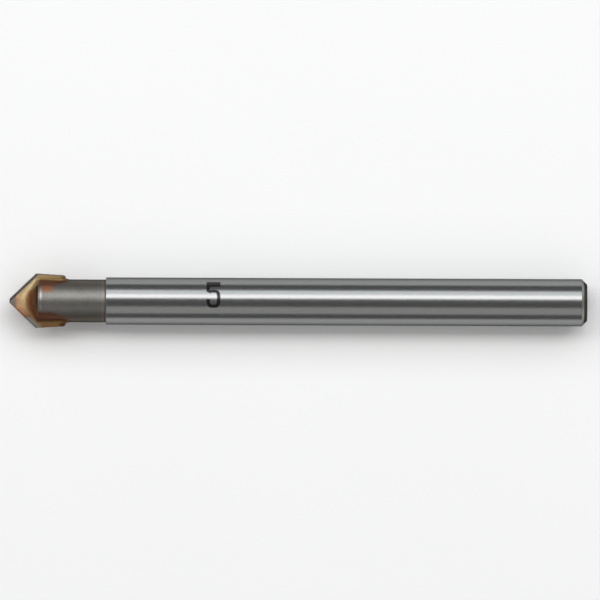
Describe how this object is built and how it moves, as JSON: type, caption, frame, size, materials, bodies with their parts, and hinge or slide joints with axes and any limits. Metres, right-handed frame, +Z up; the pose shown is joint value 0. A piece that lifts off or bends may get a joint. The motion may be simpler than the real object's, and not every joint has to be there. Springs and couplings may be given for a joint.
{
  "type": "glass and tile drill bit",
  "caption": "Spear-point drill bit for glass and tile, with a carbide plate brazed across the nose of a round steel shank.",
  "frame": {"origin": "on the floor under the middle of the bit, as it lies", "axes": "+X along the bit's axis from the point to the shank's end, +Z up and square to the plate's broad faces"},
  "size_m": [0.053, 0.005, 0.0043],
  "materials": {
    "ground_steel": "satin",
    "carbide": "satin",
    "copper_braze": "satin"
  },
  "bodies": {
    "root": {"shank": "ground_steel", "carbide_tip": "carbide", "braze": "copper_braze"}
  },
  "joints": []
}
